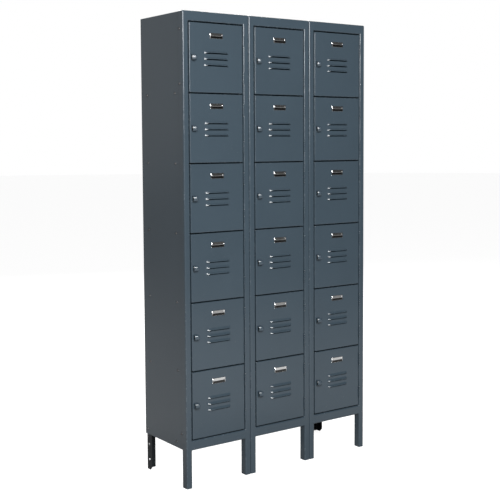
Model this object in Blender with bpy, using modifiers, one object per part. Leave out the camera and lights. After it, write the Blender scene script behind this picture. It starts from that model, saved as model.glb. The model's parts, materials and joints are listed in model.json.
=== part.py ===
"""Steel box locker cabinet: three columns of six compartments, standing on legs.

Units are metres and +Z is up. The doors face -Y. The origin is on the floor, in the
middle of the footprint, with the depth of the door pulls counted in.
"""
import math

import bmesh
import bpy
from mathutils import Matrix, Vector

# Overall size
COLUMNS = 3
TIERS = 6
COLUMN_WIDTH = 0.3048
HEIGHT = 1.8288
DEPTH = 0.3175
LEG_HEIGHT = 0.1480
GAP = 0.0003

# Front frames, formed from one gauge of sheet
FRAME_SHEET = 0.0016
FRAME_BEND = 0.0024
BEND_SEGMENTS = 2
FRAME_JOINT = 0.0010
UPRIGHT_WIDTH = 0.0254
RAIL_HEIGHT = 0.0378
FLANGE_DEPTH = 0.0300
STRIKE_DEPTH = 0.0245
STRIKE_LIP = 0.0080

# Doors
DOOR_SHEET = 0.0012
DOOR_DEPTH = 0.0200
DOOR_LIP = 0.0100
STRIKE_GAP = 0.0034
HINGE_GAP = 0.0046
TIER_GAP = 0.0045

# Louvres in each door
LOUVRES = 3
LOUVRE_LENGTH = 0.1140
LOUVRE_HEIGHT = 0.0110
LOUVRE_PROUD = 0.0050
LOUVRE_PITCH = 0.0234
LOUVRE_SLOT = 0.0080
LOUVRE_DROP = 0.50

# Finger pull on each door
PULL_WIDTH = 0.0205
PULL_HEIGHT = 0.0235
PULL_PROUD = 0.0200
PULL_INSET = 0.0175
PULL_EDGE = 0.0022

# Hinges: two a door, on its right edge
HINGE_HEIGHT = 0.0450
HINGE_DROPS = (0.23, 0.78)
KNUCKLE_RADIUS = 0.0032
KNUCKLE_GAP = 0.0005
PIN_RADIUS = 0.0015
PIN_HOLE_RADIUS = 0.0019
LEAF_SHEET = 0.0014
LEAF_DEPTH = 0.0180
ROUND_SIDES = 8

# Body sheets
BODY_SHEET = 0.0010
SIDE_LAP = 0.0100
SIDE_FLANGE = 0.0200
PAN_FLANGE = 0.0180
FLOOR_DROP = 0.0080
FLOOR_FLANGE = 0.0240
TOP_PAN_FRONT = 0.0120

# Rear legs
ANGLE_SHEET = 0.0025
ANGLE_BEND = 0.0035
ANGLE_WIDTH = 0.0380
ANGLE_CLIP = 0.0140
ANGLE_HOLE_RADIUS = 0.0045
ANGLE_HOLE_HEIGHTS = (0.0420, 0.1060)

# Worked out from the sizes above
WIDTH = COLUMNS * COLUMN_WIDTH
FRONT = -(DEPTH - PULL_PROUD) / 2
BACK = FRONT + DEPTH
FRAME_WIDTH = COLUMN_WIDTH - FRAME_JOINT
OPENING_LOW = LEG_HEIGHT + RAIL_HEIGHT
OPENING_HIGH = HEIGHT - RAIL_HEIGHT
OPENING_WIDTH = FRAME_WIDTH - 2 * UPRIGHT_WIDTH
TIER_PITCH = (OPENING_HIGH - OPENING_LOW - TIER_GAP) / TIERS
DOOR_WIDTH = OPENING_WIDTH - STRIKE_GAP - HINGE_GAP
DOOR_HEIGHT = TIER_PITCH - TIER_GAP
HINGE_X = FRAME_WIDTH / 2 - UPRIGHT_WIDTH - HINGE_GAP / 2
HINGE_Y = FRONT - KNUCKLE_RADIUS + FRAME_SHEET / 8
SHEET_TOP = HEIGHT - FRAME_BEND
SHELF_FRONT = FRONT + FLANGE_DEPTH + 2 * GAP
SIDE_BACK = BACK - BODY_SHEET - GAP
SHELF_BACK = SIDE_BACK - BODY_SHEET - GAP

PAINT = ("blue_grey_enamel", (0.082, 0.112, 0.137), 0.38, 0.0)
DARK_PAINT = ("leg_black_enamel", (0.012, 0.014, 0.015), 0.45, 0.0)


def clear_scene():
    for obj in list(bpy.data.objects):
        bpy.data.objects.remove(obj, do_unlink=True)


def new_collection(name):
    collection = bpy.data.collections.new(name)
    bpy.context.scene.collection.children.link(collection)
    return collection


def enamel(name, colour, roughness, metallic):
    finish = bpy.data.materials.new(name)
    finish.use_nodes = True
    shader = finish.node_tree.nodes["Principled BSDF"]
    shader.inputs["Base Color"].default_value = (*colour, 1.0)
    shader.inputs["Roughness"].default_value = roughness
    shader.inputs["Metallic"].default_value = metallic
    return finish


def add_object(name, mesh, collection, location=(0.0, 0.0, 0.0)):
    obj = bpy.data.objects.new(name, mesh)
    obj.location = location
    collection.objects.link(obj)
    return obj


def mesh_object(name, shape, collection):
    """Turn a finished bmesh into an object."""
    mesh = bpy.data.meshes.new(name)
    shape.to_mesh(mesh)
    shape.free()
    return add_object(name, mesh, collection)


def finished_mesh(obj, name):
    """The mesh of an object with its modifiers applied."""
    bpy.context.view_layer.update()
    evaluated = obj.evaluated_get(bpy.context.evaluated_depsgraph_get())
    mesh = bpy.data.meshes.new_from_object(evaluated)
    mesh.name = name
    return mesh


def hide_tool(obj):
    obj.hide_render = True
    obj.display_type = "WIRE"
    return obj


def add_block(shape, low, high):
    """Add a box between two corners to a bmesh."""
    low, high = Vector(low), Vector(high)
    place = Matrix.Translation((low + high) / 2) @ Matrix.Diagonal((*(high - low), 1.0))
    bmesh.ops.create_cube(shape, size=1.0, matrix=place)


def add_round(shape, radius, x, y, low, high):
    """Add an upright cylinder to a bmesh."""
    place = Matrix.Translation((x, y, (low + high) / 2))
    bmesh.ops.create_cone(shape, cap_ends=True, segments=ROUND_SIDES, radius1=radius,
                          radius2=radius, depth=high - low, matrix=place)


def flat_sheet(across, along, open_cells=()):
    """A flat sheet in XY facing +Z, with grid lines at the given places and cells left out."""
    shape = bmesh.new()
    columns, rows = len(across) - 1, len(along) - 1
    bmesh.ops.create_grid(shape, x_segments=columns, y_segments=rows, size=1.0)
    cells = {}
    for face in shape.faces:
        middle = face.calc_center_median()
        column = int((middle.x + 1) / 2 * columns)
        row = int((middle.y + 1) / 2 * rows)
        cells[(column, row)] = face
    for vert in shape.verts:
        column = round((vert.co.x + 1) / 2 * columns)
        row = round((vert.co.y + 1) / 2 * rows)
        vert.co = Vector((across[column], along[row], 0.0))
    unwanted = [cells[cell] for cell in open_cells]
    bmesh.ops.delete(shape, geom=unwanted, context="FACES")
    return shape


def stand_up(shape):
    """Turn a sheet that faces +Z so that it faces -Y and its second direction is up."""
    bmesh.ops.rotate(shape, verts=shape.verts, cent=(0, 0, 0),
                     matrix=Matrix.Rotation(math.pi / 2, 3, "X"))


def fold(shape, edges, move):
    """Fold a flange from edges; move is a vector, or a function of a point."""
    result = bmesh.ops.extrude_edge_only(shape, edges=edges)["geom"]
    for item in result:
        if isinstance(item, bmesh.types.BMVert):
            item.co += move(item.co) if callable(move) else Vector(move)
    return [item for item in result if isinstance(item, bmesh.types.BMEdge) and item.is_boundary]


def inward(centre, size, first, second):
    """A fold that turns a ring of edges in towards its centre along two axes."""
    def move(point):
        step = Vector((0.0, 0.0, 0.0))
        for axis in (first, second):
            step[axis] = -math.copysign(size, point[axis] - centre[axis])
        return step
    return move


def middle_of(edge):
    return (edge.verts[0].co + edge.verts[1].co) / 2


def face_outwards(shape, side):
    """Flip a folded sheet if its largest face doesn't point to the given side along X."""
    shape.normal_update()
    largest = max(shape.faces, key=lambda face: face.calc_area())
    if largest.normal.x * side < 0:
        bmesh.ops.reverse_faces(shape, faces=shape.faces)


def add_sheet_modifiers(obj, thickness, bend=0.0):
    """Round the bends of a folded surface if asked, then give it its thickness inwards."""
    if bend:
        bevel = obj.modifiers.new("bends", "BEVEL")
        bevel.width = bend
        bevel.segments = BEND_SEGMENTS
        bevel.limit_method = "ANGLE"
        bevel.angle_limit = math.radians(30)
    solid = obj.modifiers.new("sheet", "SOLIDIFY")
    solid.thickness = thickness
    solid.offset = -1.0
    solid.use_even_offset = True


def add_boolean(obj, tool, operation):
    cut = obj.modifiers.new(tool.name, "BOOLEAN")
    cut.operation = operation
    cut.solver = "EXACT"
    cut.object = hide_tool(tool)


def hinge_lows():
    """The lower end of each hinge, above its door's lower edge."""
    return [DOOR_HEIGHT * (1 - drop) - HINGE_HEIGHT / 2 for drop in HINGE_DROPS]


def knuckle_spans(low):
    """The three knuckles of a hinge from the bottom: frame, door, frame."""
    length = (HINGE_HEIGHT - 2 * KNUCKLE_GAP) / 3
    starts = [low + place * (length + KNUCKLE_GAP) for place in range(3)]
    return [(start, start + length) for start in starts]


def tier_low(tier):
    """Height of the lower edge of a door; tier 1 is the highest."""
    return OPENING_HIGH - tier * TIER_PITCH


def frame_surface():
    """Face, flanges and strike lip of one front frame, about its own centre line."""
    half = FRAME_WIDTH / 2
    across = (-half, UPRIGHT_WIDTH - half, half - UPRIGHT_WIDTH, half)
    up = (0.0, LEG_HEIGHT, OPENING_LOW, OPENING_HIGH, HEIGHT)
    shape = flat_sheet(across, up, open_cells=((1, 0), (1, 2)))
    stand_up(shape)
    ring, rim = [], []
    for edge in shape.edges:
        point = middle_of(edge)
        if not edge.is_boundary or point.z < GAP:
            continue
        in_opening = abs(point.x) < half - GAP and LEG_HEIGHT + GAP < point.z < HEIGHT - GAP
        (ring if in_opening else rim).append(edge)
    fold(shape, rim, (0.0, FLANGE_DEPTH, 0.0))
    strike = fold(shape, ring, (0.0, STRIKE_DEPTH, 0.0))
    centre = (0.0, 0.0, (OPENING_LOW + OPENING_HIGH) / 2)
    fold(shape, strike, inward(centre, STRIKE_LIP, 0, 2))
    return shape


def frame_tools(tools):
    """Hinge leaves, knuckles and pins that are welded to a frame."""
    leaves, knuckles, pins = bmesh.new(), bmesh.new(), bmesh.new()
    edge = HINGE_X + HINGE_GAP / 2
    for tier in range(1, TIERS + 1):
        for low in hinge_lows():
            first, _, last = knuckle_spans(tier_low(tier) + low)
            for start, end in (first, last):
                add_round(knuckles, KNUCKLE_RADIUS, HINGE_X, 0.0, start, end)
                add_block(leaves, (edge - LEAF_SHEET, 0.75 * KNUCKLE_RADIUS, start + GAP),
                          (edge + FRAME_SHEET / 4, LEAF_DEPTH, end - GAP))
            inset = KNUCKLE_RADIUS
            add_round(pins, PIN_RADIUS, HINGE_X, 0.0, first[0] + inset, last[1] - inset)
    made = []
    for name, shape in (("leaves", leaves), ("knuckles", knuckles), ("pins", pins)):
        bmesh.ops.translate(shape, verts=shape.verts, vec=(0.0, HINGE_Y - FRONT, 0.0))
        made.append(mesh_object("frame_hinge_" + name, shape, tools))
    return made


def frame_mesh(tools):
    frame = hide_tool(mesh_object("frame_blank", frame_surface(), tools))
    add_sheet_modifiers(frame, FRAME_SHEET, FRAME_BEND)
    for tool in frame_tools(tools):
        add_boolean(frame, tool, "UNION")
    return finished_mesh(frame, "front_frame")


def door_surface():
    """Door pan about its hinge axis: the face, four flanges and a rear lip."""
    right = -HINGE_GAP / 2
    left = right - DOOR_WIDTH
    face = FRONT - HINGE_Y
    shape = flat_sheet((left, right), (0.0, DOOR_HEIGHT))
    stand_up(shape)
    bmesh.ops.translate(shape, verts=shape.verts, vec=(0.0, face, 0.0))
    rim = fold(shape, list(shape.edges), (0.0, DOOR_DEPTH, 0.0))
    centre = ((left + right) / 2, 0.0, DOOR_HEIGHT / 2)
    fold(shape, rim, inward(centre, DOOR_LIP, 0, 2))
    return shape


def add_wedge(shape, centre, length, high, low, proud, root):
    """A hood that slopes out from its upper edge, with sloping ends."""
    add_block(shape, (centre - length / 2, -proud, low), (centre + length / 2, root, high))
    corners = [vert for vert in shape.verts[-8:] if vert.co.y < 0]
    for vert in corners:
        vert.co.x += math.copysign(proud, centre - vert.co.x)
        if vert.co.z > (high + low) / 2:
            vert.co.y = -proud / 4


def louvre_tools(tools):
    """The raised hoods of the louvres, and the slots that open below them."""
    centre = -HINGE_GAP / 2 - DOOR_WIDTH / 2
    middle = DOOR_HEIGHT * (1 - LOUVRE_DROP)
    hoods, slots = bmesh.new(), bmesh.new()
    for row in range(LOUVRES):
        low = middle + (row - (LOUVRES - 1) / 2) * LOUVRE_PITCH - LOUVRE_HEIGHT / 2
        add_wedge(hoods, centre, LOUVRE_LENGTH, low + LOUVRE_HEIGHT, low, LOUVRE_PROUD, DOOR_SHEET / 2)
        inner = LOUVRE_PROUD - DOOR_SHEET
        add_wedge(slots, centre, LOUVRE_LENGTH - 4 * DOOR_SHEET, low + LOUVRE_SLOT,
                  low - DOOR_SHEET, inner, 2 * DOOR_SHEET)
    made = []
    for name, shape in (("louvre_hoods", hoods), ("louvre_slots", slots)):
        bmesh.ops.translate(shape, verts=shape.verts, vec=(0.0, FRONT - HINGE_Y, 0.0))
        made.append(mesh_object(name, shape, tools))
    return made


def pull_tool(tools):
    shape = bmesh.new()
    left = PULL_INSET - PULL_WIDTH / 2 - DOOR_WIDTH - HINGE_GAP / 2
    face = FRONT - HINGE_Y
    add_block(shape, (left, face - PULL_PROUD, (DOOR_HEIGHT - PULL_HEIGHT) / 2),
              (left + PULL_WIDTH, face + DOOR_SHEET / 2, (DOOR_HEIGHT + PULL_HEIGHT) / 2))
    front = [edge for edge in shape.edges if middle_of(edge).y < face - PULL_PROUD / 4]
    bmesh.ops.bevel(shape, geom=front, offset=PULL_EDGE, segments=1, affect="EDGES")
    return mesh_object("pull", shape, tools)


def door_hinge_tools(tools):
    """Leaves and knuckles on the door's edge, and the bores for the pins."""
    leaves, knuckles, bores = bmesh.new(), bmesh.new(), bmesh.new()
    for low in hinge_lows():
        _, (start, end), _ = knuckle_spans(low)
        add_round(knuckles, KNUCKLE_RADIUS, 0.0, 0.0, start, end)
        add_round(bores, PIN_HOLE_RADIUS, 0.0, 0.0, start - GAP, end + GAP)
        add_block(leaves, (-HINGE_GAP / 2 - DOOR_SHEET / 4, 0.75 * KNUCKLE_RADIUS, start + GAP),
                  (LEAF_SHEET - HINGE_GAP / 2, LEAF_DEPTH, end - GAP))
    names = ("leaves", "knuckles", "bores")
    return [mesh_object("door_hinge_" + name, shape, tools)
            for name, shape in zip(names, (leaves, knuckles, bores))]


def door_mesh(tools):
    door = hide_tool(mesh_object("door_blank", door_surface(), tools))
    add_sheet_modifiers(door, DOOR_SHEET)
    hoods, slots = louvre_tools(tools)
    leaves, knuckles, bores = door_hinge_tools(tools)
    for tool in (hoods, leaves, knuckles, pull_tool(tools)):
        add_boolean(door, tool, "UNION")
    for tool in (slots, bores):
        add_boolean(door, tool, "DIFFERENCE")
    return finished_mesh(door, "door")


def joint_x(place):
    """Where two frames meet; 0 is the left end of the cabinet."""
    return place * COLUMN_WIDTH - WIDTH / 2


def wall_faces(place):
    """Left and right faces of an upright wall: an outer side, or a shared partition."""
    step = FRAME_SHEET + GAP
    if place == 0:
        left = -WIDTH / 2 + FRAME_JOINT / 2 + step
    else:
        left = joint_x(place) - FRAME_JOINT / 2 - step - BODY_SHEET
    return left, left + BODY_SHEET


def column_inside(column):
    """Left and right limits of what fits inside a column."""
    return wall_faces(column - 1)[1] + GAP, wall_faces(column)[0] - GAP


def block_mesh(name, low, high):
    """A flat sheet or strip between two corners."""
    shape = bmesh.new()
    add_block(shape, low, high)
    mesh = bpy.data.meshes.new(name)
    shape.to_mesh(mesh)
    shape.free()
    return mesh


def tray_mesh(tools, name, left, right, low, high, flange):
    """A pan with its face up at height 0 and flanges down on all four sides."""
    shape = flat_sheet((left, right), (low, high))
    fold(shape, list(shape.edges), (0.0, 0.0, -flange))
    blank = hide_tool(mesh_object(name + "_blank", shape, tools))
    add_sheet_modifiers(blank, BODY_SHEET)
    return finished_mesh(blank, name)


def leg_mesh(tools, name, turn):
    """A rear leg of steel angle in a lower corner; turn is 1 on the left and -1 on the right."""
    top = OPENING_LOW - FLOOR_DROP - BODY_SHEET - 2 * GAP
    shape = flat_sheet((-ANGLE_WIDTH, 0.0), (0.0, ANGLE_CLIP, top))
    for vert in shape.verts:
        if vert.co.x < -GAP and vert.co.y < GAP:
            vert.co.x += ANGLE_CLIP
        vert.co = Vector((0.0, vert.co.x, vert.co.y))
    rear = [edge for edge in shape.edges if middle_of(edge).y > -GAP]
    fold(shape, rear, (turn * ANGLE_WIDTH, 0.0, 0.0))
    face_outwards(shape, -turn)
    blank = hide_tool(mesh_object(name + "_blank", shape, tools))
    add_sheet_modifiers(blank, ANGLE_SHEET, ANGLE_BEND)
    holes = bmesh.new()
    for height in ANGLE_HOLE_HEIGHTS:
        place = (Matrix.Translation((0.0, -ANGLE_WIDTH / 2, height))
                 @ Matrix.Rotation(math.pi / 2, 4, "Y"))
        bmesh.ops.create_cone(holes, cap_ends=True, segments=ROUND_SIDES,
                              radius1=ANGLE_HOLE_RADIUS, radius2=ANGLE_HOLE_RADIUS,
                              depth=4 * ANGLE_SHEET, matrix=place)
    add_boolean(blank, mesh_object(name + "_holes", holes, tools), "DIFFERENCE")
    return finished_mesh(blank, name)


def place_piece(name, mesh, collection, location, colour, parent=None):
    """Add a piece that takes its own copy of a finish; a parent stays where it is."""
    obj = add_object(name, mesh, collection, location)
    if not mesh.materials:
        mesh.materials.append(None)
    obj.material_slots[0].link = "OBJECT"
    obj.material_slots[0].material = enamel(name + "_" + colour[0], *colour[1:])
    if parent:
        obj.parent = parent
        obj.location = Vector(location) - parent.location
    return obj


def add_fronts(cabinet, tools):
    """Front frames and the doors that hang in them."""
    frame, door = frame_mesh(tools), door_mesh(tools)
    for column in range(1, COLUMNS + 1):
        centre = (joint_x(column - 1) + joint_x(column)) / 2
        place_piece(f"front_frame_c{column}", frame, cabinet, (centre, FRONT, 0.0), PAINT)
        for tier in range(1, TIERS + 1):
            axis = bpy.data.objects.new(f"hinge_axis_c{column}_t{tier}", None)
            axis.location = (centre + HINGE_X, HINGE_Y, tier_low(tier))
            cabinet.objects.link(axis)
            place_piece(f"door_c{column}_t{tier}", door, cabinet, axis.location, PAINT, axis)


def place_block(name, low, high, collection):
    place_piece(name, block_mesh(name, low, high), collection, (0, 0, 0), PAINT)


def add_walls(cabinet):
    """Outer sides and shared partitions, and the flange along the rear edge of each."""
    partitions = [f"partition_{place}" for place in range(1, COLUMNS)]
    for place, name in enumerate(["side_panel_left", *partitions, "side_panel_right"]):
        left, right = wall_faces(place)
        place_block(name, (left, FRONT + SIDE_LAP, LEG_HEIGHT), (right, SIDE_BACK, SHEET_TOP), cabinet)
        start = left - GAP - SIDE_FLANGE if place == COLUMNS else right + GAP
        place_block("rear_flange_of_" + name, (start, SIDE_BACK - BODY_SHEET, LEG_HEIGHT),
                    (start + SIDE_FLANGE, SIDE_BACK, SHEET_TOP), cabinet)


def add_backs(cabinet):
    """A back panel for each column, over the rear flanges of the walls."""
    joints = [joint_x(place) for place in range(1, COLUMNS)]
    ends = [wall_faces(0)[0], *joints, wall_faces(COLUMNS)[1]]
    for column in range(1, COLUMNS + 1):
        left, right = ends[column - 1] + GAP, ends[column] - GAP
        place_block(f"back_panel_c{column}", (left, BACK - BODY_SHEET, LEG_HEIGHT),
                    (right, BACK, SHEET_TOP), cabinet)


def add_trays(cabinet, tools):
    """Top, shelves and floor of each column."""
    floor_z = OPENING_LOW - FLOOR_DROP
    for column in range(1, COLUMNS + 1):
        left, right = column_inside(column)
        frame_inside = joint_x(column - 1) + FRAME_JOINT / 2 + FRAME_SHEET + GAP
        top = tray_mesh(tools, f"top_{column}", max(left, frame_inside), right,
                        FRONT + TOP_PAN_FRONT, SHELF_BACK, PAN_FLANGE)
        shelf = tray_mesh(tools, f"shelf_{column}", left, right, SHELF_FRONT, SHELF_BACK,
                          PAN_FLANGE)
        floor = tray_mesh(tools, f"floor_{column}", left, right, SHELF_FRONT, SHELF_BACK,
                          FLOOR_FLANGE)
        place_piece(f"top_panel_c{column}", top, cabinet, (0, 0, SHEET_TOP), PAINT)
        place_piece(f"floor_panel_c{column}", floor, cabinet, (0, 0, floor_z), PAINT)
        for tier in range(1, TIERS):
            height = tier_low(tier) - TIER_GAP / 2 + PAN_FLANGE / 2
            place_piece(f"shelf_c{column}_t{tier}", shelf, cabinet, (0, 0, height), PAINT)


def add_rear_legs(cabinet, tools):
    """Steel angles bolted inside the rear corners of the outer floors."""
    inset = BODY_SHEET + GAP
    rear = SHELF_BACK - inset
    left = column_inside(1)[0] + inset
    right = column_inside(COLUMNS)[1] - inset
    for name, x, turn in (("rear_leg_left", left, 1), ("rear_leg_right", right, -1)):
        place_piece(name, leg_mesh(tools, name, turn), cabinet, (x, rear, 0.0), DARK_PAINT)


def main():
    clear_scene()
    cabinet = new_collection("box_locker_cabinet")
    tools = new_collection("cutters_and_blanks")
    add_fronts(cabinet, tools)
    add_walls(cabinet)
    add_backs(cabinet)
    add_trays(cabinet, tools)
    add_rear_legs(cabinet, tools)


main()
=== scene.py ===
"""Box locker cabinet in enamelled sheet steel, three columns of six, seen in a plain studio."""
import json
import math

import bmesh
import bpy
from mathutils import Matrix, Vector


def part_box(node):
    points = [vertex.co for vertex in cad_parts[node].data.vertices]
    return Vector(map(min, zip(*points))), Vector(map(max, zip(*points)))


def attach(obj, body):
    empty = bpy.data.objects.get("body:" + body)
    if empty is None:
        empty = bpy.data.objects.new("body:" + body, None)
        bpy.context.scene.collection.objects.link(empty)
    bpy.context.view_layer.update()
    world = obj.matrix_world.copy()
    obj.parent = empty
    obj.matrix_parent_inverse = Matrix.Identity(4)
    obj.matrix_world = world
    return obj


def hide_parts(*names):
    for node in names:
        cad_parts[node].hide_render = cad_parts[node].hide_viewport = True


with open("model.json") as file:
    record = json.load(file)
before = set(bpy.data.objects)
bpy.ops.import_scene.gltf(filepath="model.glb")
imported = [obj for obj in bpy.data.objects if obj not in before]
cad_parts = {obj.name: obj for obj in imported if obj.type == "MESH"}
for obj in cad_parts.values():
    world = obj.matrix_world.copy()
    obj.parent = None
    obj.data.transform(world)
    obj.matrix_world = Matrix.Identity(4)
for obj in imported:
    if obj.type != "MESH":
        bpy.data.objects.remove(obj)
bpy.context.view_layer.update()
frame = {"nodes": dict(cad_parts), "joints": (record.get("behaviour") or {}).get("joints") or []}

# Gauges and bends of the sheet, in metres
FRAME_SHEET = 0.0016
FRAME_BEND = 0.0048
DOOR_SHEET = 0.0012
DOOR_BEND = 0.0026
SMOOTH_ANGLE = math.radians(38)
BEND_TURN = math.radians(20)
NEAR = 1e-5

# Folds of the front frames and doors
FLANGE_DEPTH = 0.0300
STRIKE_DEPTH = 0.0245
STRIKE_LIP = 0.0080
DOOR_DEPTH = 0.0200
DOOR_LIP = 0.0100

# Gaps beside a door, at its hinge and at its strike
HINGE_GAP = 0.0046
STRIKE_GAP = 0.0034

# Louvres
LOUVRES = 3
LOUVRE_LENGTH = 0.1140
LOUVRE_END = 0.0160
LOUVRE_HEIGHT = 0.0125
LOUVRE_PROUD = 0.0075
LOUVRE_PITCH = 0.0234
LOUVRE_LIFT = 0.0040
LOUVRE_LOWEST = 0.3830
LOUVRE_STEPS = 6

# Finger pull
PULL_LEFT = 0.0070
PULL_REACH = 0.0225
PULL_RIM = 0.0085
PULL_HEIGHT = 0.0235
PULL_PROUD = 0.0198
PULL_SHEET = 0.0015
PULL_SQUARENESS = 2.9
PULL_LEAN = 0.24
# Gauge of the black lining, which is painted shade inside the pull
PULL_SHADE_LINING = 0.0006
HASP_SLOT = (0.0090, 0.0160)
HASP_SLOT_INSET = 0.0030

# Padlock eye, and the feet that hold it to the door
EYE_INSET = 0.0100
EYE_STAND_OFF = 0.0062
EYE_HOLE_RADIUS = 0.0030
EYE_RADIUS = 0.0050
EYE_SHEET = 0.0016
EYE_FOOT_RISE = 0.0040
EYE_FOOT_STAND_OFF = 0.0023
EYE_FOOT = Vector((0.0016, 0.0058, 0.0022))

# Number plate
PLATE_WIDTH = 0.0600
PLATE_HEIGHT = 0.0215
PLATE_DROP = 0.0465
PLATE_SHEET = 0.0009
PLATE_LIP = 0.0013
PLATE_CHANNEL = 0.0002
PLATE_FRAME = 0.0009
PLATE_EDGE = 0.0008
BAND_HEIGHT = 0.0085
BAND_RISE = 0.0018
BAND_INSET = 0.0022
PLATE_RIVET_INSET = 0.0042
PLATE_RIVET_RISE = 0.0035

# Hinges
HINGE_HEIGHT = 0.0450
HINGE_DROPS = (0.23, 0.78)
KNUCKLES = 5
KNUCKLE_RADIUS = 0.0032
KNUCKLE_GAP = 0.0005
KNUCKLE_SHEET = 0.0012
PIN_RADIUS = 0.0015
PIN_HEAD = 0.0009
LEAF_DEPTH = 0.0175

# Rivets of the hinge leaves, as shares of the leaf's height and depth
LEAF_RIVETS = (0.3, 0.7)
LEAF_RIVET_DEPTH = 0.62

# Bumpers, as shares of the door's height and the strike lip's width
BUMPER_HEIGHTS = (0.12, 0.88)
BUMPER_ACROSS = 0.62

# Spring catch
CATCH_WIDTH = 0.0220
CATCH_REACH = 0.0110
CATCH_BOW = 0.0018
CATCH_SHEET = 0.0008

# Domed heads: radius, height and, where there is one, the height of the straight foot
PLATE_RIVET = (0.0024, 0.0016)
LEAF_RIVET = (0.0019, 0.0007)
BUMPER = (0.0028, 0.0010, 0.0012)
BOLT_HEAD = (0.0034, 0.0022)
BOLT_END = (0.0022, 0.0008, 0.0058)
DOME_STEPS = 5

# Fixings: distance behind the door face and height above the floor
FRONT_FIXINGS = ((0.023, 1.761), (0.023, 1.556), (0.038, 0.210), (0.078, 0.169))
LEG_FIXING = (0.298, 0.170)
SHELF_FIXINGS = (0.062, 0.270)
SHELF_FIXING_DROP = 0.009

# Distances of the back and top bolts from the edges of their panels
BACK_FIXING_INSET = 0.011
BACK_FIXING_TOP = 0.030
BACK_FIXING_RISE = 0.020
TOP_FIXING_INSET = 0.030
TOP_FIXING_FRONT = 0.012
TOP_FIXING_REAR = 0.022

# Washers and nuts
WASHER_RADIUS = 0.0048
WASHER_HEIGHT = 0.0008
BOLT_HEAD_RISE = 0.0007
NUT_RADII = (0.0046, 0.0043)
NUT_HEIGHT = 0.0036
NUT_INSET = 0.0027

# Rear legs: width of the side flange and heights of its holes
REAR_LEG_WIDTH = 0.0380
LEG_HOLES = (0.0420, 0.1060)

# The camera, from the lower front left corner of the cabinet
CAMERA_OFFSET = Vector((-1.9679, -3.1510, 1.3300))
CAMERA_YAW = 0.6251
CAMERA_PITCH = -0.0725
CAMERA_ROLL = -0.0056
CAMERA_LENS = 70.81
CAMERA_SHIFT = -0.07

# Colours: the blue-grey enamel, its worn edges, and the near-black of the rear legs
BLUE_GREY = (0.0275, 0.0405, 0.0520, 1.0)
BLUE_GREY_WORN = (0.08, 0.10, 0.12, 1.0)
NEAR_BLACK = (0.008, 0.010, 0.012, 1.0)

# Light from the room and from the white wall behind the cabinet
ROOM_LIGHT = 0.06
WALL_LIGHT = 0.54

# Light from the floor: how much, and the distances over which it changes
FLOOR_BEHIND = 0.32
FLOOR_IN_FRONT = 0.30
BEHIND_FLOOR = (0.0, 1.5)
NEAR_FLOOR = (5.0, 2.2)
SHADED_FLOOR = (0.6, 1.1)
FLOOR_RADIUS = 40.0

# Panel lights: place, aim, size in metres and power in watts
KEY_LIGHT = ((-1.5, -3.9, 2.9), (0.0, 0.0, 1.1), (3.0, 2.2), 500.0)
REAR_FILL = ((1.6, 4.2, 3.4), (0.0, 0.0, 0.9), (3.0, 2.0), 260.0)


# What the frame says about sizes

COLUMNS = range(1, 4)
TIERS = range(1, 7)
HINGE_AXIS = {joint["child"]: Vector(joint["pos_m"]) for joint in frame["joints"]}
frame_low, frame_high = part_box("front_frame_c1")
door_low, door_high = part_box("door_c1_t1")
FACE = HINGE_AXIS["door_c1_t1"].y + KNUCKLE_RADIUS - FRAME_SHEET / 8
DOOR_RIGHT = -HINGE_GAP / 2
DOOR_LEFT = door_low.x - HINGE_AXIS["door_c1_t1"].x
DOOR_HEIGHT = door_high.z - door_low.z
FACE_IN_DOOR = FACE - HINGE_AXIS["door_c1_t1"].y
TIER_GAP = door_low.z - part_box("door_c1_t2")[1].z
FRAME_WIDTH = frame_high.x - frame_low.x
FRAME_REACH = -frame_low.x
UPRIGHT_WIDTH = door_low.x - STRIKE_GAP - frame_low.x
HEIGHT = frame_high.z
LEG_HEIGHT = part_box("side_panel_left")[0].z
OPENING_HIGH = door_high.z + TIER_GAP
OPENING_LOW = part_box("door_c1_t6")[0].z - TIER_GAP


# Shader maths and materials

class Value:
    """A number that varies over a surface; sums and products of it add Math nodes."""

    def __init__(self, nodes, socket):
        self.nodes = nodes
        self.socket = socket

    def maths(self, operation, other):
        node = self.nodes.node("ShaderNodeMath", {"operation": operation}, {0: self, 1: other})
        return Value(self.nodes, node.outputs[0])

    def __add__(self, other):
        return self.maths("ADD", other)

    def __mul__(self, other):
        return self.maths("MULTIPLY", other)

    __radd__ = __add__
    __rmul__ = __mul__

    def between(self, low, high):
        """0 at low and 1 at high, smooth between them; low may be the larger of the two."""
        node = self.nodes.node("ShaderNodeMapRange", {"interpolation_type": "SMOOTHSTEP"},
                               {"Value": self, "From Min": low, "From Max": high})
        return Value(self.nodes, node.outputs["Result"])


class Nodes:
    """The nodes of a material or of the world."""

    def __init__(self, tree):
        self.tree = tree

    def feed(self, socket, value):
        if isinstance(value, Value):
            value = value.socket
        if isinstance(value, bpy.types.NodeSocket):
            self.tree.links.new(value, socket)
        else:
            socket.default_value = value

    def node(self, kind, settings=None, sockets=None):
        """Add a node: its settings first, then the values or links of its sockets."""
        node = self.tree.nodes.new(kind)
        for name, value in (settings or {}).items():
            setattr(node, name, value)
        for name, value in (sockets or {}).items():
            self.feed(node.inputs[name], value)
        return node

    def seen_directly(self):
        """1 where the eye looks straight at the stage, 0 in what the stage lights."""
        return Value(self, self.node("ShaderNodeLightPath").outputs["Is Camera Ray"])


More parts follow.
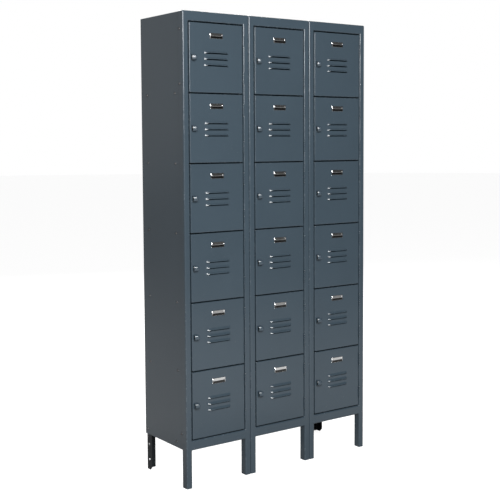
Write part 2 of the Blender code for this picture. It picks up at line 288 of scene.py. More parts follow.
class Finish(Nodes):
    """A material being made; its surface is one Principled shader."""

    def __init__(self, name):
        self.material = bpy.data.materials.new(name)
        self.material.use_nodes = True
        super().__init__(self.material.node_tree)
        self.shader = self.tree.nodes["Principled BSDF"]

    def surface(self, **sockets):
        """Feed the shader; an underscore stands for a space in a socket's name."""
        for name, value in sockets.items():
            self.feed(self.shader.inputs[name.replace("_", " ")], value)

    def place(self, stretch=(1.0, 1.0, 1.0)):
        """A point on the piece, shifted by an amount of the piece's own."""
        where = self.node("ShaderNodeTexCoord").outputs["Object"]
        own = self.node("ShaderNodeObjectInfo").outputs["Random"]
        shift = self.node("ShaderNodeVectorMath", {"operation": "SCALE"},
                          {0: (5.1, 8.7, 3.3), "Scale": own})
        moved = self.node("ShaderNodeVectorMath", {"operation": "ADD"},
                          {0: where, 1: shift.outputs[0]})
        return self.node("ShaderNodeVectorMath", {"operation": "MULTIPLY"},
                         {0: moved.outputs[0], 1: stretch}).outputs[0]

    def noise(self, where, scale, detail=2.0, roughness=0.5):
        node = self.node("ShaderNodeTexNoise", None,
                         {"Vector": where, "Scale": scale, "Detail": detail,
                          "Roughness": roughness})
        return Value(self, node.outputs["Fac"])

    def attribute(self, name):
        node = self.node("ShaderNodeAttribute", {"attribute_name": name})
        return Value(self, node.outputs["Fac"])

    def mix(self, share, first, second):
        """A colour between two; share is 0 for the first and 1 for the second."""
        node = self.node("ShaderNodeMix", {"data_type": "RGBA"}, {0: share, 6: first, 7: second})
        return node.outputs[2]

    def bumps(self, *layers):
        """Bump nodes in a row; each layer is a height, a strength and a depth in metres."""
        normal = None
        for height, strength, depth in layers:
            sockets = {"Height": height, "Strength": strength, "Distance": depth}
            if normal:
                sockets["Normal"] = normal
            normal = self.node("ShaderNodeBump", None, sockets).outputs["Normal"]
        self.surface(Normal=normal)


def grey(level):
    return (level, level, level, 1.0)


def enamel(name, colour, worn, roughness, gloss=0.5):
    """Sprayed and baked enamel: orange peel, faint waves in the sheet, dust and rubbed bends."""
    finish = Finish(name)
    where = finish.place()
    peel = finish.noise(where, 520.0, 1.5)
    waves = finish.noise(where, 7.0, 1.0)
    clouds = finish.noise(where, 3.2, 4.0, 0.6)
    grain = finish.noise(where, 60.0, 5.0, 0.7)
    bend = finish.attribute("bend")
    rubbed = bend * grain.between(0.46, 0.66) * clouds.between(0.35, 0.60)
    specks = finish.noise(where, 210.0, 2.0).between(0.70, 0.76)
    shaded = tuple(0.94 * part for part in colour[:3]) + (1.0,)
    coat = finish.mix(clouds.between(0.30, 0.70), shaded, colour)
    dusty = finish.mix(specks * 0.08, coat, grey(0.30))
    finish.surface(Base_Color=finish.mix(rubbed * 0.25, dusty, worn))
    finish.surface(Roughness=roughness - 0.03 + clouds * 0.06 + rubbed * 0.08)
    finish.surface(Specular_IOR_Level=gloss)
    finish.bumps((waves, 0.06, 0.0010), (peel, 0.08, 0.0001))
    return finish.material


def brushed_plate():
    """Aluminium plate, brushed along its length, with a few cross scratches and duller patches."""
    finish = Finish("brushed_number_plate")
    lines = finish.noise(finish.place((30.0, 1.0, 1400.0)), 1.0, 3.0, 0.7)
    marks = finish.noise(finish.place((900.0, 1.0, 40.0)), 1.0, 2.0).between(0.66, 0.72)
    clouds = finish.noise(finish.place(), 90.0, 3.0)
    metal = finish.mix(clouds, (0.60, 0.60, 0.60, 1.0), (0.84, 0.84, 0.83, 1.0))
    finish.surface(Base_Color=finish.mix(marks * 0.4, metal, grey(0.30)), Metallic=1.0)
    finish.surface(Roughness=0.12 + lines * 0.10 + marks * 0.15)
    finish.bumps((lines, 0.20, 0.0001), (marks, 0.25, 0.0001))
    return finish.material


def shade_band_finish():
    """Gloss black band in the lower channel of a number plate, with fine wiping scratches: painted
    shade for the dark line along the plate's foot.
    """
    finish = Finish("black_painted_shade_band")
    wiped = finish.noise(finish.place((60.0, 1.0, 900.0)), 1.0, 3.0)
    dust = finish.noise(finish.place(), 700.0, 2.0).between(0.66, 0.74)
    finish.surface(Base_Color=finish.mix(dust * 0.2, grey(0.003), grey(0.06)))
    finish.surface(Roughness=0.16 + wiped * 0.14)
    finish.bumps((wiped, 0.08, 0.0001))
    return finish.material


def zinc(name, level, roughness):
    """Bright zinc on small steel parts, with a faint spangle and duller patches."""
    finish = Finish(name)
    spangle = finish.noise(finish.place(), 900.0, 2.0)
    dull = finish.noise(finish.place(), 240.0, 3.0).between(0.42, 0.62)
    tint = (level, level, level * 1.02, 1.0)
    finish.surface(Base_Color=finish.mix(dull * 0.5, tint, grey(level * 0.62)), Metallic=1.0)
    finish.surface(Roughness=roughness + dull * 0.14)
    finish.bumps((spangle, 0.12, 0.0001))
    return finish.material


def rubber():
    """Matt black rubber with a fine mould grain and a little dust; inside the finger pulls it is
    painted shade.
    """
    finish = Finish("bumper_rubber")
    grain = finish.noise(finish.place(), 1500.0, 3.0)
    dust = finish.noise(finish.place(), 260.0, 3.0).between(0.50, 0.70)
    finish.surface(Base_Color=finish.mix(dust * 0.25, grey(0.018), grey(0.11)))
    finish.surface(Roughness=0.72 + grain * 0.15)
    finish.bumps((grain, 0.30, 0.0001))
    return finish.material


def studio_floor():
    """Pale floor that looks white; it lights the cabinet, but not from right below it."""
    finish = Finish("pale_studio_floor")
    where = finish.node("ShaderNodeTexCoord").outputs["Object"]
    patches = finish.noise(where, 0.8, 3.0)
    axes = finish.node("ShaderNodeSeparateXYZ", None, {0: where})
    length = finish.node("ShaderNodeVectorMath", {"operation": "LENGTH"}, {0: where})
    distance = Value(finish, length.outputs["Value"])
    behind = Value(finish, axes.outputs["Y"]).between(*BEHIND_FLOOR)
    in_front = finish.mix(distance.between(*NEAR_FLOOR), grey(0.0), grey(FLOOR_IN_FRONT))
    around = finish.mix(behind, in_front, grey(FLOOR_BEHIND))
    given = finish.mix(distance.between(*SHADED_FLOOR), grey(0.0), around)
    finish.surface(Base_Color=finish.mix(patches, grey(0.28), grey(0.32)))
    finish.surface(Roughness=0.75 + patches * 0.1)
    glow = finish.mix(finish.seen_directly(), given, grey(1.0))
    finish.surface(Emission_Color=glow, Emission_Strength=0.92)
    return finish.material


# Mesh tools

def sheet_grid(across, up):
    """A flat sheet that faces -Y, with grid lines at the given places."""
    shape = bmesh.new()
    columns, rows = len(across) - 1, len(up) - 1
    bmesh.ops.create_grid(shape, x_segments=columns, y_segments=rows, size=1.0)
    for vert in shape.verts:
        column = round((vert.co.x + 1) / 2 * columns)
        row = round((vert.co.y + 1) / 2 * rows)
        vert.co = Vector((across[column], 0.0, up[row]))
    return shape


def middle_of(edge):
    return (edge.verts[0].co + edge.verts[1].co) / 2


def remove_front(shape, low, high):
    """Open the front of a sheet between two corners, measured across and up."""
    unwanted = []
    for face in shape.faces:
        point = face.calc_center_median()
        inside = low[0] < point.x < high[0] and low[1] < point.z < high[1]
        if inside and abs(point.y) < NEAR:
            unwanted.append(face)
    bmesh.ops.delete(shape, geom=unwanted, context="FACES")


def fold(shape, edges, move):
    """Fold a flange from edges; move is a vector, or a function of a point."""
    result = bmesh.ops.extrude_edge_only(shape, edges=edges)["geom"]
    for item in result:
        if isinstance(item, bmesh.types.BMVert):
            item.co += move(item.co) if callable(move) else Vector(move)
    return [item for item in result if isinstance(item, bmesh.types.BMEdge) and item.is_boundary]


def inward(low, high, size):
    """A fold that turns a ring of edges in from a rectangle's sides, given across and up."""
    def move(point):
        step = Vector((0.0, 0.0, 0.0))
        for axis, start, end in ((0, low[0], high[0]), (2, low[1], high[1])):
            if abs(point[axis] - start) < size / 4:
                step[axis] = size
            elif abs(point[axis] - end) < size / 4:
                step[axis] = -size
        return step
    return move


def finished(name, shape, sheet=0.0, bend=0.0, steps=3):
    """A mesh with its bends rounded and its sheet thickness added, shaded smooth at bends."""
    mesh = bpy.data.meshes.new(name)
    shape.to_mesh(mesh)
    shape.free()
    blank = bpy.data.objects.new(name, mesh)
    bpy.context.scene.collection.objects.link(blank)
    if bend:
        rounding = blank.modifiers.new("bends", "BEVEL")
        rounding.width = bend
        rounding.segments = steps
        rounding.limit_method = "ANGLE"
        rounding.angle_limit = math.radians(40)
    if sheet:
        thickness = blank.modifiers.new("sheet", "SOLIDIFY")
        thickness.thickness = sheet
        thickness.offset = -1.0
        thickness.use_even_offset = True
    bpy.context.view_layer.update()
    ready = blank.evaluated_get(bpy.context.evaluated_depsgraph_get())
    mesh = bpy.data.meshes.new_from_object(ready)
    mesh.name = name
    bpy.data.objects.remove(blank)
    shade(mesh)
    return mesh


def shade(mesh):
    """Smooth the bends, keep cut edges sharp, and mark the faces where the sheet bends."""
    shape = bmesh.new()
    shape.from_mesh(mesh)
    bend = shape.faces.layers.float.new("bend")
    for edge in shape.edges:
        edge.smooth = edge.calc_face_angle(0.0) < SMOOTH_ANGLE
    for face in shape.faces:
        face.smooth = True
        turns = [edge.calc_face_angle(0.0) for edge in face.edges]
        face[bend] = float(sum(BEND_TURN < turn < SMOOTH_ANGLE for turn in turns) > 1)
    shape.to_mesh(mesh)
    shape.free()


def turned(shape, profile, sides, matrix):
    """Add a profile of (radius, height) points that is spun about Z and placed by a matrix."""
    spun = bmesh.new()
    verts = [spun.verts.new((radius, 0.0, height)) for radius, height in profile]
    edges = [spun.edges.new(pair) for pair in zip(verts, verts[1:])]
    bmesh.ops.spin(spun, geom=verts + edges, cent=(0, 0, 0), axis=(0, 0, 1),
                   angle=2 * math.pi, steps=sides, use_duplicate=False)
    bmesh.ops.remove_doubles(spun, verts=spun.verts, dist=1e-6)
    bmesh.ops.recalc_face_normals(spun, faces=spun.faces)
    bmesh.ops.transform(spun, matrix=matrix, verts=spun.verts)
    part = bpy.data.meshes.new("turned")
    spun.to_mesh(part)
    spun.free()
    shape.from_mesh(part)
    bpy.data.meshes.remove(part)


def dome(radius, height, foot=0.0):
    """The profile of a domed head, from its middle to its foot."""
    points = []
    for step in range(DOME_STEPS + 1):
        angle = math.pi / 2 * step / DOME_STEPS
        points.append((radius * math.sin(angle), foot + height * math.cos(angle)))
    points.append((radius, 0.0))
    return points


def add_bar(shape, low, high):
    """A box between two corners."""
    low, high = Vector(low), Vector(high)
    place = Matrix.Translation((low + high) / 2) @ Matrix.Diagonal((*(high - low), 1.0))
    bmesh.ops.create_cube(shape, size=1.0, matrix=place)


def facing(direction, at):
    """A matrix that stands Z along a direction at a point."""
    turn = Vector(direction).to_track_quat("Z", "Y").to_matrix().to_4x4()
    return Matrix.Translation(at) @ turn


def put(name, mesh, at, body, finish, stands_for=None):
    """Add one visible piece, tie it to its body, and hide the node that it stands for."""
    if not mesh.materials:
        mesh.materials.append(finish)
    piece = bpy.data.objects.new(name, mesh)
    piece.location = at
    bpy.context.scene.collection.objects.link(piece)
    normals = piece.modifiers.new("flat faces stay flat", "WEIGHTED_NORMAL")
    normals.keep_sharp = True
    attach(piece, body)
    if stands_for:
        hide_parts(stands_for)
    return piece


# Doors

def louvre_lows():
    """The lower edge of each louvre above the door's lower edge."""
    lowest = DOOR_HEIGHT * LOUVRE_LOWEST
    return [lowest + row * LOUVRE_PITCH for row in range(LOUVRES)]


def door_lines():
    """Grid lines across and up a door, close together where the louvres are."""
    middle = (DOOR_LEFT + DOOR_RIGHT) / 2
    start = middle - LOUVRE_LENGTH / 2
    steps = [LOUVRE_END * step / LOUVRE_STEPS for step in range(LOUVRE_STEPS + 1)]
    across = [start + step for step in steps] + [2 * middle - start - step for step in steps]
    across += [middle - LOUVRE_LENGTH / 6, middle + LOUVRE_LENGTH / 6]
    slot_left, slot_low = hasp_slot()[0]
    across += [DOOR_LEFT, DOOR_RIGHT, slot_left, slot_left + HASP_SLOT[0]]
    up = [0.0, DOOR_HEIGHT, slot_low, slot_low + HASP_SLOT[1]]
    for low in louvre_lows():
        up += [low + LOUVRE_HEIGHT * step / LOUVRE_STEPS for step in range(LOUVRE_STEPS + 1)]
    return sorted(across), sorted(up)


def hasp_slot():
    """Corners of the slot behind the pull, across and up."""
    left = DOOR_LEFT + PULL_LEFT + HASP_SLOT_INSET
    low = (DOOR_HEIGHT - HASP_SLOT[1]) / 2
    return (left, low), (left + HASP_SLOT[0], low + HASP_SLOT[1])


def rise(distance, length):
    """A straight rise from 0 to 1 over a length, a little rounded at its ends."""
    share = min(1.0, max(0.0, distance / length))
    return 0.7 * share + 0.3 * share * share * (3 - 2 * share)


def press_louvres(shape):
    """Slit the sheet under each louvre and press its hood outwards."""
    middle = (DOOR_LEFT + DOOR_RIGHT) / 2
    reach = LOUVRE_LENGTH / 2
    for low in louvre_lows():
        slit = []
        for edge in shape.edges:
            level = all(abs(vert.co.z - low) < NEAR for vert in edge.verts)
            if level and abs(middle_of(edge).x - middle) < reach and not edge.is_boundary:
                slit.append(edge)
        bmesh.ops.split_edges(shape, edges=slit)
        hood = set()
        for face in shape.faces:
            point = face.calc_center_median()
            if low < point.z < low + LOUVRE_HEIGHT and abs(point.x - middle) < reach:
                hood.update(face.verts)
        for vert in hood:
            share = rise(reach - abs(vert.co.x - middle), LOUVRE_END)
            up = (vert.co.z - low) / LOUVRE_HEIGHT
            vert.co.y -= LOUVRE_PROUD * share * (1 + math.cos(math.pi * up)) / 2
            vert.co.z += LOUVRE_LIFT * share * (1 - up)


def door_shell():
    """The formed door pan, with its flanges, rear lip, hasp slot and louvres."""
    across, up = door_lines()
    shape = sheet_grid(across, up)
    rim = fold(shape, [edge for edge in shape.edges if edge.is_boundary], (0, DOOR_DEPTH, 0))
    fold(shape, rim, inward((DOOR_LEFT, 0.0), (DOOR_RIGHT, DOOR_HEIGHT), DOOR_LIP))
    remove_front(shape, *hasp_slot())
    press_louvres(shape)
    bmesh.ops.translate(shape, verts=shape.verts, vec=(0, FACE_IN_DOOR, 0))
    return finished("door_shell", shape, DOOR_SHEET, DOOR_BEND)


def pull_cup(inset):
    """A boxy dome, open on its left and higher to the right, an inset inside the pull's size."""
    shape = bmesh.new()
    bmesh.ops.create_uvsphere(shape, u_segments=40, v_segments=24, radius=1.0)
    size = Vector((PULL_REACH - PULL_RIM, PULL_PROUD, PULL_HEIGHT / 2)) - Vector((inset,) * 3)
    for vert in shape.verts:
        total = sum(abs(part) ** PULL_SQUARENESS for part in vert.co)
        boxy = vert.co * total ** (-1 / PULL_SQUARENESS)
        vert.co = Vector(part * side for part, side in zip(boxy, size))
        vert.co.y *= 1 - PULL_LEAN * (1 - vert.co.x / size.x)
    opening = (inset - PULL_RIM, 0, 0)
    for point, direction in ((opening, (-1, 0, 0)), ((0, 0.0004, 0), (0, 1, 0))):
        bmesh.ops.bisect_plane(shape, geom=shape.verts[:] + shape.edges[:] + shape.faces[:],
                               plane_co=point, plane_no=direction, clear_outer=True)
    centre = (DOOR_LEFT + PULL_LEFT + PULL_RIM, FACE_IN_DOOR, DOOR_HEIGHT / 2)
    bmesh.ops.translate(shape, verts=shape.verts, vec=centre)
    return shape


def pull():
    return finished("pull", pull_cup(0.0), PULL_SHEET)


def pull_lining():
    """Black cup that lines the inside of the finger pull: painted shade in its open recess."""
    return finished("pull_lining", pull_cup(PULL_SHEET), PULL_SHADE_LINING)


def padlock_eye():
    """The flat eye inside the pull that takes a padlock's shackle."""
    shape = bmesh.new()
    half = EYE_SHEET / 2
    ring = [(EYE_HOLE_RADIUS, -half), (EYE_HOLE_RADIUS, half), (EYE_RADIUS, half),
            (EYE_RADIUS, -half), (EYE_HOLE_RADIUS, -half)]
    at = Vector((DOOR_LEFT + PULL_LEFT + EYE_INSET, FACE_IN_DOOR - EYE_STAND_OFF, DOOR_HEIGHT / 2))
    turned(shape, ring, 20, facing((1, 0, 0), at))
    for side in (-1, 1):
        foot = at + Vector((0.0, EYE_STAND_OFF - EYE_FOOT_STAND_OFF, side * EYE_FOOT_RISE))
        add_bar(shape, foot - EYE_FOOT / 2, foot + EYE_FOOT / 2)
    return finished("padlock_eye", shape)


def plate_profile():
    """Height and stand-off of the number plate from its lower edge to its upper edge."""
    low, high = -PLATE_HEIGHT / 2, PLATE_HEIGHT / 2
    band_low, band_high = low + BAND_RISE, low + BAND_RISE + BAND_HEIGHT
    return [(low, 0.0), (low + PLATE_EDGE, PLATE_LIP),
            (band_low - PLATE_EDGE, PLATE_LIP), (band_low, PLATE_CHANNEL),
            (band_high, PLATE_CHANNEL), (band_high + PLATE_EDGE, PLATE_FRAME),
            (high - PLATE_EDGE, PLATE_FRAME), (high, 0.0)]


def number_plate():
    """A pressed plate with a rolled lower lip and a channel for the black band of painted shade.
    """
    profile = plate_profile()
    half = PLATE_WIDTH / 2
    across = (-half, -half + 0.0010, half - 0.0010, half)
    shape = sheet_grid(across, [height for height, _ in profile])
    stand_off = dict(profile)
    for vert in shape.verts:
        height = min(stand_off, key=lambda level: abs(level - vert.co.z))
        outer = abs(vert.co.x) > half - 0.0005
        vert.co.y = -PLATE_SHEET - (0.0 if outer else stand_off[height])
    bmesh.ops.translate(shape, verts=shape.verts, vec=plate_centre())
    return finished("number_plate", shape, PLATE_SHEET * 0.8)


def plate_centre():
    return Vector(((DOOR_LEFT + DOOR_RIGHT) / 2, FACE_IN_DOOR, DOOR_HEIGHT - PLATE_DROP))


# A black band of painted shade in the number plate's lower channel.
def card_band():
    shape = bmesh.new()
    low = -PLATE_HEIGHT / 2 + BAND_RISE
    half = PLATE_WIDTH / 2 - BAND_INSET
    add_bar(shape, (-half, -0.0018, low + 0.0002), (half, -0.0009, low + BAND_HEIGHT - 0.0002))
    bmesh.ops.translate(shape, verts=shape.verts, vec=plate_centre())
    return finished("card_band", shape, bend=0.0002, steps=2)


def plate_rivets():
    shape = bmesh.new()
    for side in (-1, 1):
        across = side * (PLATE_WIDTH / 2 - PLATE_RIVET_INSET)
        at = plate_centre() + Vector((across, -0.0012, PLATE_RIVET_RISE))
        turned(shape, dome(*PLATE_RIVET), 16, facing((0, -1, 0), at))
    return finished("plate_rivets", shape)


def hinge_lows():
    """The lower end of each hinge, above its door's lower edge."""
    return [DOOR_HEIGHT * (1 - drop) - HINGE_HEIGHT / 2 for drop in HINGE_DROPS]


def knuckle_spans(low, first):
    """Every other knuckle of a hinge, starting with the given one."""
    length = (HINGE_HEIGHT - (KNUCKLES - 1) * KNUCKLE_GAP) / KNUCKLES
    starts = [low + place * (length + KNUCKLE_GAP) for place in range(first, KNUCKLES, 2)]
    return [(start, start + length) for start in starts]


def add_rolled_leaf(shape, side, low, high):
    """A leaf at one side of the gap that runs forward and rolls round the pin."""
    radius = KNUCKLE_RADIUS - KNUCKLE_SHEET / 2
    path = [(side * radius, LEAF_DEPTH), (side * radius, LEAF_DEPTH / 2)]
    for step in range(19):
        angle = -math.radians(18 * step)
        path.append((side * radius * math.cos(angle), radius * math.sin(angle)))
    rows = [[shape.verts.new((x, y, z)) for x, y in path] for z in (low, high)]
    for place in range(len(path) - 1):
        corners = [rows[0][place], rows[0][place + 1], rows[1][place + 1], rows[1][place]]
        shape.faces.new(corners)


def hinge_half(side, first):
    """One half of both hinges of a door: a rolled leaf for every other knuckle."""
    shape = bmesh.new()
    for low in hinge_lows():
        for start, end in knuckle_spans(low, first):
            add_rolled_leaf(shape, side, start, end)
    bmesh.ops.recalc_face_normals(shape, faces=shape.faces)
    half = "frame" if first == 0 else "door"
    return finished(half + "_hinge_halves", centred(shape, KNUCKLE_SHEET), KNUCKLE_SHEET)


def centred(shape, sheet):
    """Push a surface out by half its gauge, so that Solidify leaves it centred."""
    shape.normal_update()
    moves = [(vert, vert.normal * sheet / 2) for vert in shape.verts]
    for vert, move in moves:
        vert.co += move
    return shape


def hinge_pins():
    """The pins of a door's hinges, with the same head at both ends."""
    shape = bmesh.new()
    end = HINGE_HEIGHT + 2 * PIN_HEAD
    head = [(0.0, 0.0), (PIN_RADIUS * 1.2, 0.0002), (PIN_RADIUS * 1.5, 0.0007)]
    profile = head + [(PIN_RADIUS, PIN_HEAD), (PIN_RADIUS, end - PIN_HEAD)]
    profile += [(radius, end - height) for radius, height in reversed(head)]
    for low in hinge_lows():
        turned(shape, profile, 12, Matrix.Translation((0, 0, low - PIN_HEAD)))
    return finished("hinge_pins", shape)


def leaf_rivets(side):
    """Rivet heads through the hinge leaves, seen when a door is open."""
    shape = bmesh.new()
    inner = KNUCKLE_RADIUS - KNUCKLE_SHEET
    for low in hinge_lows():
        for share in LEAF_RIVETS:
            at = (side * inner, LEAF_DEPTH * LEAF_RIVET_DEPTH, low + HINGE_HEIGHT * share)
            turned(shape, dome(*LEAF_RIVET), 10, facing((-side, 0, 0), at))
    return finished("leaf_rivets", shape)


def catch():
    """A folded spring catch behind the left edge of the door."""
    shape = sheet_grid((-CATCH_WIDTH / 2, CATCH_WIDTH / 2), (0.0, CATCH_REACH / 2, CATCH_REACH))
    for vert in shape.verts:
        bow = CATCH_BOW * math.sin(math.pi * vert.co.z / CATCH_REACH)
        vert.co = Vector((-bow, vert.co.z, vert.co.x))
    at = (DOOR_LEFT + DOOR_SHEET + 0.0012, FACE_IN_DOOR + 0.0045, DOOR_HEIGHT / 2)
    bmesh.ops.translate(shape, verts=shape.verts, vec=at)
    return finished("spring_catch", shape, CATCH_SHEET)


def bumpers():
    """Rubber buttons on the strike lip that the door closes against."""
    shape = bmesh.new()
    across = DOOR_LEFT - STRIKE_GAP + STRIKE_LIP * BUMPER_ACROSS
    for share in BUMPER_HEIGHTS:
        at = (across, FACE_IN_DOOR + STRIKE_DEPTH - 0.0002, DOOR_HEIGHT * share)
        turned(shape, dome(*BUMPER), 14, facing((0, -1, 0), at))
    return finished("bumpers", shape)


# Frames and fixings

def front_frame():
    """Face, outer flanges, strike and strike lip of a front frame, about its centre line."""
    half = FRAME_WIDTH / 2
    inner = half - UPRIGHT_WIDTH
    shape = sheet_grid((-half, -inner, inner, half),
                       (0.0, LEG_HEIGHT, OPENING_LOW, OPENING_HIGH, HEIGHT))
    remove_front(shape, (-inner, 0.0), (inner, LEG_HEIGHT))
    remove_front(shape, (-inner, OPENING_LOW), (inner, OPENING_HIGH))
    ring, rim = [], []
    for edge in shape.edges:
        point = middle_of(edge)
        if not edge.is_boundary or point.z < FRAME_SHEET:
            continue
        in_opening = abs(point.x) < half - FRAME_SHEET and LEG_HEIGHT < point.z - FRAME_SHEET
        group = ring if in_opening and point.z < HEIGHT - FRAME_SHEET else rim
        group.append(edge)
    fold(shape, rim, (0.0, FLANGE_DEPTH, 0.0))
    strike = fold(shape, ring, (0.0, STRIKE_DEPTH, 0.0))
    fold(shape, strike, inward((-inner, OPENING_LOW), (inner, OPENING_HIGH), STRIKE_LIP))
    return finished("front_frame", shape, FRAME_SHEET, FRAME_BEND, 4)


def bolt_heads(places, direction):
    """Low round bolt heads on washers, all facing one way."""
    shape = bmesh.new()
    washer = [(0.0, WASHER_HEIGHT), (WASHER_RADIUS - 0.0002, WASHER_HEIGHT), (WASHER_RADIUS, 0.0)]
    for at in places:
        matrix = facing(direction, at)
        turned(shape, washer, 18, matrix)
        turned(shape, dome(*BOLT_HEAD), 16, matrix @ Matrix.Translation((0, 0, BOLT_HEAD_RISE)))
    return finished("bolt_heads", shape)


def hex_nut(at, direction):
    """A nut with the end of its bolt."""
    shape = bmesh.new()
    matrix = facing(direction, at)
    bmesh.ops.create_cone(shape, cap_ends=True, segments=6, radius1=NUT_RADII[0],
                          radius2=NUT_RADII[1], depth=NUT_HEIGHT,
                          matrix=matrix @ Matrix.Translation((0, 0, NUT_HEIGHT / 2)))
    turned(shape, dome(*BOLT_END), 12, matrix)
    return finished("hex_nuts", shape)


def shelf_height(tier):
    """The height of the bolts into the shelf under a tier."""
    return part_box(f"shelf_c1_t{tier}")[1].z - SHELF_FIXING_DROP


def side_fixings(side):
    """Bolt places on the left (-1) or right (1) outer face of the cabinet."""
    name = "side_panel_left" if side < 0 else "side_panel_right"
    low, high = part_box(name)
    panel = low.x if side < 0 else high.x
    flange = side * FRAME_REACH
    places = []
    for behind, height in FRONT_FIXINGS:
        outer = flange if behind < FLANGE_DEPTH else panel
        places.append((outer, FACE + behind, height))
    places.append((panel, FACE + LEG_FIXING[0], LEG_FIXING[1]))
    for tier in TIERS[:-1]:
        for behind in SHELF_FIXINGS:
            places.append((panel, FACE + behind, shelf_height(tier)))
    return places


def back_fixings():
    """Bolt places along the upright edges of the back panels."""
    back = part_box("back_panel_c1")[1].y
    places = []
    for column in COLUMNS:
        low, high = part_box(f"back_panel_c{column}")
        for x in (low.x + BACK_FIXING_INSET, high.x - BACK_FIXING_INSET):
            for tier in TIERS[:-1]:
                places.append((x, back, shelf_height(tier)))
            places.append((x, back, HEIGHT - BACK_FIXING_TOP))
            places.append((x, back, LEG_HEIGHT + BACK_FIXING_RISE))
    return places


def top_fixings():
    """Bolt places near the corners of each top panel."""
    places = []
    for column in COLUMNS:
        low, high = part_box(f"top_panel_c{column}")
        for x in (low.x + TOP_FIXING_INSET, high.x - TOP_FIXING_INSET):
            for y in (FACE + FLANGE_DEPTH + TOP_FIXING_FRONT, high.y - TOP_FIXING_REAR):
                places.append((x, y, high.z))
    return places


# Building the cabinet

def add_doors(paint, metal, band, bright, black):
    """Everything that is made once for each door."""
    on_door = (
        ("pull", pull(), paint, "blue_grey_enamel"),
        # The black lining is painted shade inside the pull's open recess.
        ("pull_lining", pull_lining(), black, "bumper_rubber"),
        ("padlock_eye", padlock_eye(), bright, "zinc_fixings"),
        ("number_plate", number_plate(), metal, "number_plate_metal"),
        # The black band is painted shade in the plate's channel.
        ("card_band", card_band(), band, "bumper_rubber"),
        ("plate_rivets", plate_rivets(), bright, "zinc_fixings"),
        ("hinge_leaves_door", hinge_half(-1, 1), paint, "blue_grey_enamel"),
        ("leaf_rivets_door", leaf_rivets(-1), bright, "zinc_fixings"),
        ("spring_catch", catch(), bright, "zinc_fixings"))
    on_frame = (
        ("hinge_leaves_frame", hinge_half(1, 0), paint, "blue_grey_enamel"),
        ("leaf_rivets_frame", leaf_rivets(1), bright, "zinc_fixings"),
        ("hinge_pins", hinge_pins(), bright, "zinc_fixings"),
        ("bumpers", bumpers(), black, "bumper_rubber"))
    shell = door_shell()
    for column in COLUMNS:
        for tier in TIERS:
            door, tail = f"door_c{column}_t{tier}", f"_c{column}_t{tier}"
            axis = HINGE_AXIS[door]
            at = (axis.x, axis.y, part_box(door)[0].z)
            put("door_shell" + tail, shell, at, door, paint, door)
            for name, mesh, finish, slot in on_door:
                put(name + tail, mesh, at, door, finish)
            for name, mesh, finish, slot in on_frame:
                put(name + tail, mesh, at, "cabinet", finish)


def add_frames(paint):
    mesh = front_frame()
    for column in COLUMNS:
        node = f"front_frame_c{column}"
        low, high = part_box(node)
        put(f"formed_frame_c{column}", mesh, ((low.x + high.x) / 2, FACE, 0.0), "cabinet", paint,
            node)


def leg_bolts(name, side):
    """Bolt places in the two holes of a rear leg's outer side."""
    low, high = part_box(name)
    outer = low.x if side < 0 else high.x
    return [(outer, high.y - REAR_LEG_WIDTH / 2, height) for height in LEG_HOLES]


def leg_nut(name, side):
    """The nut on the inner side of a rear leg, where it is bolted to the side panel."""
    low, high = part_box(name)
    inner = low.x if side > 0 else high.x
    place = (inner + side * NUT_INSET, FACE + LEG_FIXING[0], LEG_FIXING[1])
    return hex_nut(place, (side, 0, 0))


def add_fixings(dull, bright):
    """Panel bolts in dull zinc; the bolts of the rear legs, and their nuts, in bright zinc."""
    origin = (0.0, 0.0, 0.0)
    groups = (("left_side_bolts", side_fixings(-1), (-1, 0, 0)),
              ("right_side_bolts", side_fixings(1), (1, 0, 0)),
              ("back_bolts", back_fixings(), (0, 1, 0)),
              ("top_bolts", top_fixings(), (0, 0, 1)))
    for name, places, direction in groups:
        put(name, bolt_heads(places, direction), origin, "cabinet", dull)
    legs = ((1, "rear_leg_left"), (-1, "rear_leg_right"))
    for side, name in legs:
        bolts = bolt_heads(leg_bolts(name, -side), (-side, 0, 0))
        put(name + "_bolts", bolts, origin, "cabinet", bright)
    for side, name in legs:
        nut = name.replace("rear_leg", "nut")
        put(nut, leg_nut(name, side), origin, "cabinet", bright)


def finish_nodes(paint, dark):
    """Give the frame's own pieces that still show their enamel."""
    for name, node in frame["nodes"].items():
        if node.hide_render:
            continue
        finish = dark if name.startswith("rear_leg") else paint
        for slot in node.material_slots:
            slot.material = finish


# The studio

def add_floor():
    shape = bmesh.new()
    bmesh.ops.create_circle(shape, cap_ends=True, segments=96, radius=FLOOR_RADIUS)
    mesh = finished("studio_floor", shape)
    mesh.materials.append(studio_floor())
    floor = bpy.data.objects.new("studio_floor", mesh)
    bpy.context.scene.collection.objects.link(floor)


def add_panel_light(name, at, aim, size, power):
    light = bpy.data.lights.new(name, "AREA")
    light.shape = "RECTANGLE"
    light.size, light.size_y = size
    light.energy = power
    lamp = bpy.data.objects.new(name, light)
    lamp.location = at
    lamp.rotation_euler = (Vector(aim) - Vector(at)).to_track_quat("-Z", "Y").to_euler()
    bpy.context.scene.collection.objects.link(lamp)


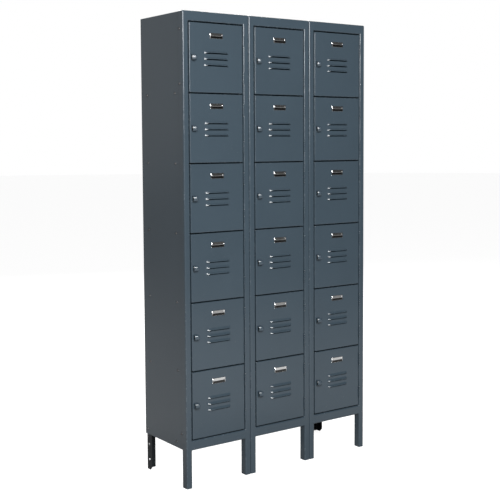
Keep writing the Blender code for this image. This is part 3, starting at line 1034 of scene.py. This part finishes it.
def add_surroundings():
    """A dim room with a white wall low down behind the cabinet; the eye sees white all round."""
    world = bpy.data.worlds.new("studio")
    world.use_nodes = True
    bpy.context.scene.world = world
    nodes = Nodes(world.node_tree)
    where = nodes.node("ShaderNodeTexCoord").outputs["Generated"]
    axes = nodes.node("ShaderNodeSeparateXYZ", None, {0: where})
    behind = Value(nodes, axes.outputs["Y"]).between(0.20, 0.70)
    low = Value(nodes, axes.outputs["Z"]).between(0.50, 0.15)
    given = behind * low * WALL_LIGHT + ROOM_LIGHT
    background = nodes.tree.nodes["Background"]
    background.inputs["Color"].default_value = grey(1.0)
    nodes.feed(background.inputs["Strength"], given.maths("MAXIMUM", nodes.seen_directly()))


def add_camera():
    corner = Vector((frame_low.x, FACE, 0.0))
    camera = bpy.data.objects.new("camera", bpy.data.cameras.new("camera"))
    bpy.context.scene.collection.objects.link(camera)
    bpy.context.scene.camera = camera
    forward = Vector((math.sin(CAMERA_YAW) * math.cos(CAMERA_PITCH),
                      math.cos(CAMERA_YAW) * math.cos(CAMERA_PITCH), math.sin(CAMERA_PITCH)))
    right = Vector((math.cos(CAMERA_YAW), -math.sin(CAMERA_YAW), 0.0))
    axes = Matrix((right, right.cross(forward), -forward)).transposed().to_4x4()
    roll = Matrix.Rotation(CAMERA_ROLL, 4, "Z")
    camera.matrix_world = Matrix.Translation(corner + CAMERA_OFFSET) @ axes @ roll
    camera.data.lens = CAMERA_LENS
    camera.data.sensor_width = 36.0
    camera.data.shift_y = CAMERA_SHIFT
    camera.data.clip_end = 60.0


def main():
    paint = enamel("blue_grey_enamel", BLUE_GREY, BLUE_GREY_WORN, 0.24)
    # The rear legs are near-black, far darker than the blue-grey of the rest.
    dark = enamel("leg_black_enamel", NEAR_BLACK, grey(0.06), 0.45, 0.2)
    bright = zinc("bright_zinc", 0.72, 0.22)
    dull = zinc("bolt_zinc", 0.12, 0.45)
    add_doors(paint, brushed_plate(), shade_band_finish(), bright, rubber())
    add_frames(paint)
    add_fixings(dull, bright)
    finish_nodes(paint, dark)
    add_floor()
    add_surroundings()
    add_panel_light("key", *KEY_LIGHT)
    add_panel_light("rear_fill", *REAR_FILL)
    add_camera()
    settings = bpy.context.scene.view_settings
    settings.view_transform = "Standard"
    settings.look = "None"


main()
